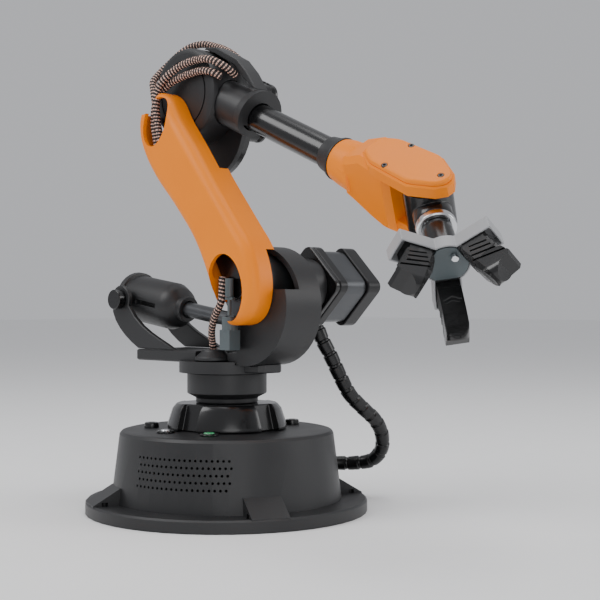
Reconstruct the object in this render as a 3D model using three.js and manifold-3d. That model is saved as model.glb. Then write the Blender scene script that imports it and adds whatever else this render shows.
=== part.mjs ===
// Desktop six-axis robot arm with a balance cylinder and a three-finger soft gripper.
// Millimetres, +Z up. The origin is the base's underside on the turntable axis, the arm leans and
// reaches in the XZ plane towards +X, and the shoulder motor stands out on the +Y side.
import * as THREE from 'three';
import { mergeVertices } from 'three/addons/utils/BufferGeometryUtils.js';
import Module from 'manifold-3d';

const wasm = await Module();
wasm.setup();

// Driving dimensions
const GAP = 0.3; // between pieces that rest on each other
const SHOULDER = { x: 29.7, z: 127 }; // shoulder axis, along Y
const UPPER_ARM = 108; // shoulder axis to elbow axis
const ELBOW_OFFSET = 20; // elbow axis to forearm axis
const FOREARM = 172; // foot of the elbow offset to the middle of the wrist cover
const PITCH_AHEAD = 6; // wrist pitch axis ahead of that
const LEAN_BACK = rad(29.5);
const FOREARM_DROP = rad(24.1);
const WRIST_ROLL = rad(36.8);
const WRIST_PITCH = rad(-36);
const TOOL_SPIN = rad(-4.5);
const ELBOW = {
  x: SHOULDER.x - UPPER_ARM * Math.sin(LEAN_BACK),
  z: SHOULDER.z + UPPER_ARM * Math.cos(LEAN_BACK),
};

const BASE_RADIUS = 80; // flange
const BASE_TOP = 46;
const WALL_FOOT_RADIUS = 65.5; // dome wall where it meets the flange
const WALL_TOP_RADIUS = 60.6;
const FLANGE_HEIGHT = 7;
const TAB_TURN = rad(-25.5);
const BUTTON_CIRCLE = 40.4;
const POWER_BUTTON_ANGLE = rad(-56);
const MODE_BUTTON_ANGLE = rad(-98.8);
const BUTTON_RADIUS = 3;
const GLAND_ANGLE = rad(84);
const GLAND_HEIGHT = 20;

const PEDESTAL_TOP = 61;
const COLUMN_TOP = 78;
const TURRET_TOP = 85;
const DECK_TOP = 90.5; // rear deck that carries the balance cylinder
const TRUNNION = { x: -74, z: 119.6 };
const LEVER_PIN = { x: 5, z: 108 };
const HOUSING = { x: 29.7, z: 116, radius: 33, near: -14.5, far: 12.5 };
const HUB_RADIUS = 18.6;
const NECK = { radius: 16.2, far: 35 };
const CABLE_BOSS = { x: 5.3, y: -15, radius: 10.5 };
const MOTOR_WIDTH = 35.3;

const COVER_NEAR = -30; // orange arm cover, outside face
const COVER_FAR = -9;
const COVER_WALL = 2.4;
const ELBOW_NEAR = -15; // elbow housing, outside face
const ELBOW_SPLIT = 8; // its near and far halves meet here
const LOBE = { ahead: 2, radius: 30.2, near: 4.5 }; // drum round the elbow axis
const ELBOW_DISC = { x: -21, z: 237.4 }; // middle of the elbow's upper disc
const DISC_IN_FOREARM = { x: -4.5, z: -4 }; // the same, in the forearm's frame
const LINK_NEAR = -21;
const LINK_FAR = -16;

const CAPSULE_RADIUS = 12.6; // forearm motor housing
const COLLAR = { back: 41, front: 46.5, radius: 15.8 };
const TUBE_RADIUS = 8.2;
const TUBE_START = 38; // along the forearm axis from its foot
const WRIST_COVER_HEIGHT = 23;
const TOOL_FLANGE = 21.5; // pitch axis to flange face
const SHELL_BACK = 40;
const SHELL_RIM = 47.8;
const SHELL_WALL = 1;
const ARM_REACH = 27.1; // gripper axis to the end of each arm
const ARM_WIDTH = 13.6;
const FINGER_WIDTH = 11;
const FINGERS = 3;

function rad(degrees) {
  return (degrees * Math.PI) / 180;
}

// Solids: closed meshes with merged vertices and no slivers of zero width
function welded(geometry) {
  const bare = geometry.clone();
  bare.deleteAttribute('normal');
  bare.deleteAttribute('uv');
  const merged = mergeVertices(bare, 1e-4);
  const index = merged.getIndex().array;
  const kept = [];
  for (let i = 0; i < index.length; i += 3) {
    const [a, b, c] = [index[i], index[i + 1], index[i + 2]];
    if (a !== b && b !== c && c !== a) kept.push(a, b, c);
  }
  merged.setIndex(kept);
  return signedVolume(merged) < 0 ? flipped(merged) : merged;
}

function signedVolume(geometry) {
  const p = geometry.getAttribute('position');
  const index = geometry.getIndex().array;
  const [a, b, c] = [new THREE.Vector3(), new THREE.Vector3(), new THREE.Vector3()];
  let volume = 0;
  for (let i = 0; i < index.length; i += 3) {
    a.fromBufferAttribute(p, index[i]);
    b.fromBufferAttribute(p, index[i + 1]);
    c.fromBufferAttribute(p, index[i + 2]);
    volume += a.dot(b.cross(c)) / 6;
  }
  return volume;
}

function flipped(geometry) {
  const index = Array.from(geometry.getIndex().array);
  for (let i = 0; i < index.length; i += 3) {
    [index[i + 1], index[i + 2]] = [index[i + 2], index[i + 1]];
  }
  geometry.setIndex(index);
  return geometry;
}

function solid(geometry) {
  const closed = welded(geometry);
  return new wasm.Manifold(new wasm.Mesh({
    numProp: 3,
    vertProperties: Float32Array.from(closed.getAttribute('position').array),
    triVerts: Uint32Array.from(closed.getIndex().array),
  }));
}

function geometryOf(manifold) {
  const mesh = manifold.getMesh();
  const geometry = new THREE.BufferGeometry();
  geometry.setAttribute('position', new THREE.BufferAttribute(mesh.vertProperties, 3));
  geometry.setIndex(new THREE.BufferAttribute(mesh.triVerts, 1));
  return geometry;
}

function join(...geometries) {
  return geometryOf(geometries.map(solid).reduce((a, b) => a.add(b)));
}

function cut(body, ...tools) {
  return geometryOf(tools.map(solid).reduce((a, b) => a.subtract(b), solid(body)));
}

// Primitive shapes
function box(x0, x1, y0, y1, z0, z1) {
  const geometry = new THREE.BoxGeometry(x1 - x0, y1 - y0, z1 - z0);
  return geometry.translate((x0 + x1) / 2, (y0 + y1) / 2, (z0 + z1) / 2);
}

function drumZ(radius, z0, z1, x = 0, y = 0, sides = 32, topRadius = radius) {
  const geometry = new THREE.CylinderGeometry(topRadius, radius, z1 - z0, sides);
  return geometry.rotateX(Math.PI / 2).translate(x, y, (z0 + z1) / 2);
}

function drumY(radius, y0, y1, x, z, sides = 32) {
  const geometry = new THREE.CylinderGeometry(radius, radius, y1 - y0, sides);
  return geometry.translate(x, (y0 + y1) / 2, z);
}

function turnedZ(profile, sides = 36) {
  const points = profile.map(([r, z]) => new THREE.Vector2(r, z));
  return new THREE.LatheGeometry(points, sides).rotateX(Math.PI / 2);
}

function turnedX(profile, sides = 24) {
  return turnedZ(profile, sides).rotateY(Math.PI / 2);
}

function extruded(shape, length, bevel, curveSegments) {
  return new THREE.ExtrudeGeometry(shape, {
    depth: length - 2 * bevel,
    curveSegments,
    bevelEnabled: bevel > 0,
    bevelThickness: bevel,
    bevelSize: bevel,
    bevelOffset: -bevel,
    bevelSegments: 1,
  }).translate(0, 0, bevel);
}

function slabZ(shape, z0, z1, bevel = 0, curveSegments = 6) {
  return extruded(shape, z1 - z0, bevel, curveSegments).translate(0, 0, z0);
}

// An outline drawn in X and Z, extruded from one Y to another
function slabY(shape, y0, y1, bevel = 0, curveSegments = 6) {
  return extruded(shape, y1 - y0, bevel, curveSegments).rotateX(Math.PI / 2).translate(0, y1, 0);
}

function outline(points) {
  return new THREE.Shape(points.map(([x, y]) => new THREE.Vector2(x, y)));
}

function roundedRectangle(width, height, radius) {
  const [x, y] = [width / 2 - radius, height / 2 - radius];
  const shape = new THREE.Shape();
  shape.absarc(x, y, radius, 0, Math.PI / 2);
  shape.absarc(-x, y, radius, Math.PI / 2, Math.PI);
  shape.absarc(-x, -y, radius, Math.PI, 1.5 * Math.PI);
  shape.absarc(x, -y, radius, 1.5 * Math.PI, 2 * Math.PI);
  return shape;
}

// A straight bar with round ends from one point to another
function link(from, to, fromRadius, toRadius) {
  const along = Math.atan2(to.z - from.z, to.x - from.x);
  const shape = new THREE.Shape();
  shape.absarc(to.x, to.z, toRadius, along - Math.PI / 2, along + Math.PI / 2);
  shape.absarc(from.x, from.z, fromRadius, along + Math.PI / 2, along + 1.5 * Math.PI);
  return shape;
}

function sleeve(points, radius, sides = 8) {
  const path = new THREE.CatmullRomCurve3(points.map((p) => new THREE.Vector3(...p)));
  const section = [];
  for (let i = 0; i < sides; i += 1) {
    const angle = (2 * Math.PI * i) / sides;
    section.push([radius * Math.cos(angle), radius * Math.sin(angle)]);
  }
  const steps = Math.min(70, Math.round(path.getLength() / (5 * radius)) + 6);
  return new THREE.ExtrudeGeometry(outline(section), { extrudePath: path, steps });
}

function smooth(points, divisions, closed = true) {
  const curve = new THREE.CatmullRomCurve3(
    points.map(([x, z]) => new THREE.Vector3(x, z, 0)), closed, 'centripetal');
  const samples = curve.getPoints(divisions).map((p) => [p.x, p.y]);
  return closed ? samples.slice(0, -1) : samples;
}

// The outline moved inwards by a wall's thickness
function inset(points, distance) {
  const count = points.length;
  return points.map(([x, z], i) => {
    const [px, pz] = points[(i + count - 1) % count];
    const [nx, nz] = points[(i + 1) % count];
    const length = Math.hypot(nx - px, nz - pz);
    return [x - (distance * (nz - pz)) / length, z + (distance * (nx - px)) / length];
  });
}

// Finishes
function finish(color, roughness, metalness = 0) {
  return new THREE.MeshStandardMaterial({ color, roughness, metalness });
}
const finishes = {
  greyShell: () => finish(0x3c3d40, 0.5),
  blackShell: () => finish(0x161617, 0.35),
  orange: () => finish(0xff8a08, 0.35),
  rubber: () => finish(0x121213, 0.7),
  steel: () => finish(0xa8aaad, 0.3, 0.9),
  motorBlack: () => finish(0x1c1c1e, 0.45, 0.3),
  motorCore: () => finish(0x5a5c5f, 0.35, 0.8),
  lightGrey: () => finish(0xb5b6b8, 0.5),
  slate: () => finish(0x6e7a7c, 0.45),
  board: () => finish(0x1d5b36, 0.5),
  green: () => finish(0x35c46a, 0.3),
  silver: () => finish(0xd5d6d8, 0.25, 0.8),
  braid: () => finish(0x2a2324, 0.8),
};

const arm = new THREE.Group();

function piece(name, geometry, material, parent = arm) {
  const closed = welded(geometry).toNonIndexed();
  closed.computeVertexNormals();
  const mesh = new THREE.Mesh(closed, material);
  mesh.name = name;
  parent.add(mesh);
  return mesh;
}

function frameAt(parent, x, y, z) {
  const group = new THREE.Group();
  group.position.set(x, y, z);
  parent.add(group);
  return group;
}

// Base: a flanged dome that stays still
function wallRadius(z) {
  const rise = (z - FLANGE_HEIGHT) / (BASE_TOP - FLANGE_HEIGHT);
  return WALL_FOOT_RADIUS + (WALL_TOP_RADIUS - WALL_FOOT_RADIUS) * rise;
}

function around(angle, radius) {
  return [radius * Math.cos(angle), radius * Math.sin(angle)];
}

function baseShell() {
  const wall = 3;
  const throat = 10;
  const top = BASE_TOP;
  const dome = turnedZ([
    [BASE_RADIUS, 0], [BASE_RADIUS, FLANGE_HEIGHT - 1], [BASE_RADIUS - 1, FLANGE_HEIGHT],
    [WALL_FOOT_RADIUS, FLANGE_HEIGHT], [wallRadius(top - 2), top - 2], [WALL_TOP_RADIUS - 1, top - 0.5],
    [WALL_TOP_RADIUS - 3, top], [throat, top], [throat, top - wall],
    [WALL_TOP_RADIUS - wall - 1, top - wall],
    [WALL_FOOT_RADIUS - wall, FLANGE_HEIGHT], [WALL_FOOT_RADIUS - wall, 0], [BASE_RADIUS, 0],
  ], 44);
  const tabs = [];
  for (let i = 0; i < 4; i += 1) {
    const ramp = outline([[62, 3], [79, 3], [79, 7.2], [64, 16.2], [62, 16.2]]);
    tabs.push(slabY(ramp, -10.5, 10.5).rotateZ(TAB_TURN + (i * Math.PI) / 2));
  }
  const wells = [POWER_BUTTON_ANGLE, MODE_BUTTON_ANGLE].map((angle) => {
    return drumZ(BUTTON_RADIUS + 0.5, top - wall - 1, top + 1, ...around(angle, BUTTON_CIRCLE), 20);
  });
  const [x, y] = around(GLAND_ANGLE, WALL_FOOT_RADIUS);
  const cableEntry = drumY(4.8, -8, 8, 0, 0, 20).rotateZ(GLAND_ANGLE - Math.PI / 2).translate(x, y,
    GLAND_HEIGHT);
  return cut(join(dome, ...tabs), ...wells, cableEntry);
}

function stepperBody(width, z0, z1) {
  return slabZ(roundedRectangle(width, width, 3.5), z0, z1, 0.4, 2);
}

function buildBase() {
  const plateRadius = WALL_FOOT_RADIUS - 3 - GAP;
  const footPocket = turnedZ([[46, -1], [56, -1], [56, 1.9], [46, 1.9], [46, -1]], 36);
  piece('base_shell', baseShell(), finishes.greyShell());
  piece('base_plate', cut(drumZ(plateRadius, 0, 3, 0, 0, 48), footPocket), finishes.steel());
  piece('foot_ring', turnedZ([[46.3, 0], [55.7, 0], [55.7, 1.6], [46.3, 1.6], [46.3, 0]], 36),
    finishes.rubber());
  piece('control_board', join(
    box(-52, -23, -22, 22, 8, 9.6),
    box(-44, -32, -8, 4, 9, 12), box(-50, -40, 9, 19, 9, 17), box(-36, -26, 10, 18, 9, 14),
    box(-49, -41, -20, -12, 9, 15),
  ), finishes.board());
  piece('base_motor', join(stepperBody(MOTOR_WIDTH, 9, 42), drumZ(2.5, 41, 52, 0, 0, 16)),
    finishes.motorBlack());
  piece('pedestal', pedestal(), finishes.blackShell());
  piece('base_bearing', turnedZ([[9, 54.5], [13.2, 54.5], [13.2, 60.6], [9, 60.6], [9, 54.5]], 20),
    finishes.steel());
  button('power_button', 'power_button_bezel', POWER_BUTTON_ANGLE, finishes.green());
  button('mode_button', 'mode_button_bezel', MODE_BUTTON_ANGLE, finishes.silver());
  piece('cable_gland', cableGland(), finishes.blackShell());
  piece('port_panel', portPanel(), finishes.blackShell());
  piece('base_conduit', sleeve(CONDUIT_ROUTE, 4.4, 10), finishes.rubber());
}

// Faceted foot of the column with a notch on each quarter
function pedestal() {
  const body = turnedZ([
    [0, BASE_TOP + GAP], [34, BASE_TOP + GAP], [34, 49], [31, 58], [28.5, PEDESTAL_TOP], [0, PEDESTAL_TOP],
  ], 24);
  const bore = drumZ(8, BASE_TOP - 2, PEDESTAL_TOP + 2, 0, 0, 24);
  const seat = drumZ(13.5, 54.2, PEDESTAL_TOP + 2, 0, 0, 32);
  const notches = [];
  for (let i = 0; i < 4; i += 1) {
    const wedge = outline([[24.5, 63], [29.5, 44], [40, 44], [40, 63]]);
    notches.push(slabY(wedge, -7, 7).rotateZ(rad(5) + (i * Math.PI) / 2));
  }
  return cut(body, bore, seat, ...notches);
}

function button(name, bezelName, angle, material) {
  const [x, y] = around(angle, BUTTON_CIRCLE);
  const [inner, outer] = [BUTTON_RADIUS + 0.6, BUTTON_RADIUS + 2.2];
  const floor = BASE_TOP + GAP;
  piece(bezelName, turnedZ([
    [inner, floor], [outer, floor], [outer, floor + 0.5], [outer - 0.5, floor + 1], [inner, floor + 1],
    [inner, floor],
  ], 16).translate(x, y, 0), finishes.blackShell());
  piece(name, turnedZ([
    [0, 39], [BUTTON_RADIUS, 39], [BUTTON_RADIUS, floor + 1.1], [BUTTON_RADIUS - 0.6, floor + 1.6],
    [0, floor + 1.6],
  ], 20).translate(x, y, 0), material);
}

// Ring nut and elbow spout where the conduit enters the dome
function cableGland() {
  const start = wallRadius(GLAND_HEIGHT) + 1;
  return turnedX([
    [4.7, start - 4], [4.7, start], [7.2, start], [7.2, start + 4.5], [6.2, start + 5.5],
    [4.75, start + 5.5],
    [4.75, start + 0.2], [4.3, start - 4], [4.7, start - 4],
  ], 16).rotateZ(GLAND_ANGLE).translate(0, 0, GLAND_HEIGHT);
}

// Rear connector panel, standing just proud of the sloping wall
function portPanel() {
  const dome = turnedZ([
    [0, 0], [WALL_FOOT_RADIUS + GAP, 0], [WALL_FOOT_RADIUS + GAP, FLANGE_HEIGHT],
    [WALL_TOP_RADIUS + GAP, BASE_TOP], [0, BASE_TOP],
  ], 48);
  const face = box(-67.5, -60, -17, 17, 17, 35);
  const sockets = [[-10, 8, 8], [0, 7, 5], [10, 9, 4]].map(([y, width, height]) => {
    return box(-69, -66.2, y - width / 2, y + width / 2, 26 - height / 2, 26 + height / 2);
  });
  return cut(face, dome, ...sockets);
}

// Routes of the conduit and of the sleeve at the shoulder
const CONDUIT_ROUTE = [
  [34.5, 38.5, 103.5], [36, 41, 96.5], [38, 45, 88.5], [40.5, 51.5, 75], [42, 58, 64.5], [43.5, 68.5, 55.5],
  [43.5, 79, 48], [42, 86.5, 39], [38, 90.5, 29.5], [31, 90, 22.6], [20.5, 85.5, 20.2], [12, 79, 20],
  [7.55, 71.8, 20],
];
const SHOULDER_SLEEVE_ROUTE = [
  [CABLE_BOSS.x, CABLE_BOSS.y, 92], [6.5, -17, 96.5], [10, -20.4, 103], [15.8, -23, 111],
  [22, -24.3, 118.3], [23, -24.4, 125.5],
  [23.2, -24.4, 132],
];

// Turret: turns on the pedestal and carries the shoulder and the balance cylinder
function turretFrame() {
  const disc = drumZ(27.3, COLUMN_TOP + GAP, TURRET_TOP, 0, 0, 40);
  const deck = slabZ(outline([[-57, -20], [2, -20], [2, 20], [-57, 20]]), TURRET_TOP - 1, DECK_TOP, 0.8);
  const foot = slabZ(outline([[10, -12], [35, -9], [37.4, -6], [37.4, 6], [35, 9], [10, 12]]), 79, 86, 0.6);
  const housingRoom = drumY(HOUSING.radius + 0.4, HOUSING.near - 0.4, 30, HOUSING.x, HOUSING.z, 48);
  const bossSeat = drumZ(CABLE_BOSS.radius + 0.4, TURRET_TOP, 95, CABLE_BOSS.x, CABLE_BOSS.y, 32);
  return cut(join(disc, deck, foot), housingRoom, bossSeat);
}

// Hollow drum round the shoulder hub, open at its upper corner and behind, where the rod comes in
function shoulderHousing() {
  const { x, z, radius, near, far } = HOUSING;
  const wall = 3;
  const drum = drumY(radius, near, far, x, z, 48);
  const neck = drumY(NECK.radius, far - 1, NECK.far, SHOULDER.x, SHOULDER.z, 32);
  const hollow = drumY(radius - wall, near + wall, far - wall, x, z, 40);
  const hubRoom = drumY(HUB_RADIUS + 0.5, near - 1, near + 6, SHOULDER.x, SHOULDER.z, 36);
  const bore = drumY(11, near - 1, NECK.far + 1, SHOULDER.x, SHOULDER.z, 28);
  const foot = drumZ(28, 70, TURRET_TOP + GAP, 0, 0, 40);
  const bossRoom = drumZ(CABLE_BOSS.radius + 0.6, 80, 98, CABLE_BOSS.x, CABLE_BOSS.y, 24);
  const rodRoom = box(-10, x - 6, near - 1, 7, z - 26, z + 50);
  const window = box(x - 8, x + 50, near - 1, -3.5, SHOULDER.z - 2, z + 50);
  return cut(join(drum, neck), hollow, hubRoom, bore, foot, bossRoom, rodRoom, window);
}

// Square motor parts stand on one corner, so their sides slope at 45 degrees
function diamond(width, corner, y0, y1, bevel = 0.5) {
  const square = slabY(roundedRectangle(width, width, corner), y0, y1, bevel, 2);
  return square.rotateY(Math.PI / 4).translate(SHOULDER.x, 0, SHOULDER.z);
}

function ear(side) {
  const shape = new THREE.Shape();
  shape.moveTo(-24, DECK_TOP + GAP);
  shape.bezierCurveTo(-36, 97, -56, 101, -66.3, 116);
  shape.absarc(TRUNNION.x, TRUNNION.z, 8.5, rad(-25), rad(200));
  shape.bezierCurveTo(-83, 107, -70, 97, -57, DECK_TOP + GAP);
  const [y0, y1] = side > 0 ? [16.4, 19.6] : [-19.6, -16.4];
  return cut(slabY(shape, y0, y1, 0.5, 6), drumY(3.4, y0 - 1, y1 + 1, TRUNNION.x, TRUNNION.z, 20));
}

function trunnionBolt(side) {
  const shank = drumY(3, 12, 21, TRUNNION.x, TRUNNION.z, 20);
  const head = drumY(6, 20, 24.6, TRUNNION.x, TRUNNION.z, 24);
  const bolt = join(shank, head);
  return side > 0 ? bolt : bolt.scale(1, -1, 1);
}

function cableBoss() {
  const floor = TURRET_TOP + GAP;
  const { x, y, radius } = CABLE_BOSS;
  return turnedZ([
    [2.4, floor], [radius, floor], [radius, floor + 2], [7, floor + 5], [6.5, floor + 6.4],
    [2.4, floor + 6.4],
    [2.4, floor],
  ], 20).translate(x, y, 0);
}

function buildTurret() {
  piece('column', cut(turnedZ([
    [0, PEDESTAL_TOP + GAP], [17.7, PEDESTAL_TOP + GAP], [17.7, 64], [22.7, 66.5], [22.7, COLUMN_TOP],
    [0, COLUMN_TOP],
  ], 48), drumZ(6, 55, 90, 0, 0, 20)), finishes.greyShell());
  piece('turret_frame', turretFrame(), finishes.greyShell());
  piece('shoulder_housing', shoulderHousing(), finishes.greyShell());
  piece('shoulder_reducer', drumY(10.6, 5.3, NECK.far - 0.4, SHOULDER.x, SHOULDER.z, 28), finishes.steel());
  piece('motor_mount', diamond(MOTOR_WIDTH, 5, NECK.far + GAP, 38.7), finishes.blackShell());
  piece('shoulder_motor_front', diamond(MOTOR_WIDTH, 5, 39, 45.5), finishes.motorBlack());
  piece('shoulder_motor_core', diamond(33, 6.5, 45.8, 62.7, 0), finishes.motorCore());
  piece('shoulder_motor_rear', diamond(MOTOR_WIDTH, 5, 63, 73.5), finishes.motorBlack());
  for (const [label, side] of [['near', -1], ['far', 1]]) {
    piece(`balance_ear_${label}`, ear(side), finishes.greyShell());
    piece(`trunnion_bolt_${label}`, trunnionBolt(side), finishes.blackShell());
  }
  piece('cable_boss', cableBoss(), finishes.greyShell());
  piece('shoulder_sleeve', sleeve(SHOULDER_SLEEVE_ROUTE, 2), finishes.braid());
}

// Balance cylinder: barrel on the trunnion, rod forked round the upper arm's lever
function buildBalance() {
  const frame = frameAt(arm, TRUNNION.x, 0, TRUNNION.z);
  const reach = Math.hypot(LEVER_PIN.x - TRUNNION.x, LEVER_PIN.z - TRUNNION.z);
  frame.rotation.y = Math.atan2(TRUNNION.z - LEVER_PIN.z, LEVER_PIN.x - TRUNNION.x);
  const shell = turnedX([
    [0, -11], [13, -11], [15.6, -9.5], [15.6, -6], [14, -5.5], [14, 28], [11.5, 34], [7.5, 37],
    [7.5, 41], [5, 41],
    [5, -6], [0, -6],
  ], 28);
  const slots = [-1, 1].map((side) => box(8, 26, side * 14 - 4, side * 14 + 4, -1.3, 1.3));
  piece('balance_barrel', cut(shell, drumY(3.4, -20, -10, 0, 0, 20), drumY(3.4, 10, 20, 0, 0, 20),
    ...slots),
    finishes.greyShell(), frame);
  const rod = turnedX([[0, 14], [4.4, 14], [4.4, reach + 3], [0, reach + 3]], 24);
  const eye = drumY(4.6, -4.4, 4.4, reach + 2, 0, 24);
  const fork = box(reach - 12, reach + 12, -2.1, 2.1, -8, 8);
  const pinHole = drumY(2.2, -6, 6, reach, 0, 16);
  piece('balance_rod', cut(join(rod, eye), fork, pinHole), finishes.steel(), frame);
}

// Upper arm
const COVER_SIDE = [
  [27, 107], [41, 106.6], [49.5, 113], [53, 127], [48, 146], [35, 163], [17, 185], [1, 206], [-11, 221],
  [-20, 234], [-29, 238], [-39, 234.5], [-45, 225], [-45, 214], [-40, 202], [-30.5, 189], [-13.5, 171.5],
  [2.7, 152.5], [13.6, 133], [20, 117],
];

function oval(x, z, halfWidth, halfLength, turn) {
  const shape = new THREE.Shape();
  shape.absellipse(x, z, halfWidth, halfLength, 0, 2 * Math.PI, false, turn);
  return shape;
}

function upperArmCover() {
  const points = smooth(COVER_SIDE, 56);
  const outer = slabY(outline(points), COVER_NEAR, 0, 4);
  const inner = slabY(outline(inset(points, COVER_WALL)), COVER_NEAR + COVER_WALL, 2, 2);
  const back = box(-90, 90, COVER_FAR, 20, 80, 260);
  const housingRoom = drumY(HOUSING.radius + 2.5, HOUSING.near - 0.6, 20, HOUSING.x, HOUSING.z, 48);
  const elbowRoom = drumY(44.5, ELBOW_NEAR - 0.6, 20, ELBOW.x, ELBOW.z, 40);
  const upperHole = slabY(oval(-28.5, 221, 9.5, 14.5, rad(-22)), COVER_NEAR - 2, COVER_NEAR + 12, 0, 16);
  const lowerHole = slabY(oval(31, 126, 13.5, 18.5, rad(14)), COVER_NEAR - 2, COVER_NEAR + 12, 0, 20);
  const mouth = slabY(outline([[19, 98], [31, 98], [31.5, 122], [24, 132], [19.5, 122]]),
    COVER_NEAR - 2, 5);
  const sleeveExit = slabY(outline([
    [-54, 229], [-45, 226.5], [-37, 226], [-31.5, 229.5], [-28.4, 233], [-28.4, 246], [-54, 246],
  ]), COVER_NEAR - 2, 5);
  return cut(outer, inner, back, housingRoom, elbowRoom, upperHole, lowerHole, mouth, sleeveExit);
}

function upperArmLink() {
  const bar = slabY(link(SHOULDER, ELBOW, 7.6, 7), LINK_NEAR, LINK_FAR, 0.6, 8);
  const elbowHole = drumY(5.3, LINK_NEAR - 1, LINK_FAR + 1, ELBOW.x, ELBOW.z, 24);
  return cut(bar, elbowHole);
}

function shoulderHub() {
  const boss = drumY(9, LINK_FAR + GAP, 0, SHOULDER.x, SHOULDER.z, 28);
  const hub = drumY(HUB_RADIUS, HOUSING.near + 1, 4.8, SHOULDER.x, SHOULDER.z, 36);
  const lever = slabY(link(SHOULDER, LEVER_PIN, 9, 4.6), -1.5, 1.5, 0, 10);
  const pin = drumY(1.8, -1.5, 1.5, LEVER_PIN.x, LEVER_PIN.z, 16);
  return join(cut(join(hub, boss), drumY(4, -30, 10, SHOULDER.x, SHOULDER.z, 16)), lever, pin);
}

const ELBOW_SLEEVES = [
  [[-27, -24.9, 200], [-29.3, -25, 211], [-31.6, -25.4, 222], [-32.3, -25.7, 232], [-32.1, -25.2, 238],
    [-29.9, -24.2, 243.3], [-26.3, -22.6, 247.4], [-21.5, -20.6, 250.9], [-15.6, -19.2, 253.4],
    [-6.1, -18, 254.8],
    [4, -17.4, 254], [9.6, -14.5, 251.4], [12, -10, 248.4], [12.4, -5, 245.4]],
  [[-31.4, -24.2, 200], [-33.8, -24.2, 211], [-35.9, -24.2, 220], [-36.2, -23.6, 229],
  [-35.3, -22.4, 235.6],
    [-32.7, -21, 239.8], [-27.7, -19.6, 243.6], [-19.7, -18.6, 246.2], [-10, -18, 247.8],
    [-0.4, -17.6, 248.2],
    [6, -16, 246.6], [9.6, -12.6, 244]],
  [[-33, -19.6, 203], [-37.2, -19.5, 214], [-39.6, -19.3, 226], [-41.6, -18.9, 235], [-44.3, -17.8, 242],
    [-46.8, -16, 247.5], [-47.2, -10.5, 253.5], [-45, -5, 259.5], [-41.5, -0.5, 265], [-36.5, 3.6, 269.2],
    [-29, 6.6, 270.4], [-20.5, 8.6, 268.4], [-11, 9, 264.8], [-1, 8.8, 259], [7, 8.6, 251.5], [14, 8, 244]],
];

function buildUpperArm() {
  piece('upper_arm_cover', upperArmCover(), finishes.orange());
  piece('upper_arm_link', upperArmLink(), finishes.blackShell());
  piece('shoulder_hub', shoulderHub(), finishes.blackShell());
  piece('elbow_shaft', drumY(5, LINK_NEAR + 0.5, 9, ELBOW.x, ELBOW.z, 24), finishes.steel());
  piece('air_fitting', join(
    drumZ(2.4, 121, 131, 28.6, -24.2, 12), drumZ(1.1, 111, 122, 28.6, -24.2, 8), box(26, 32, -25.2,
      -23.2, 119.4, 120.8),
  ), finishes.slate());
  piece('valve_block', join(
    drumZ(4.4, 102.5, 110, 25.5, -21, 20), box(21.5, 29.5, -25, -17, 92, 103),
  ), finishes.slate());
  ELBOW_SLEEVES.forEach((route, i) => {
    piece(`elbow_sleeve_${i + 1}`, sleeve(route, 2.1), finishes.braid());
  });
}

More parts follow.
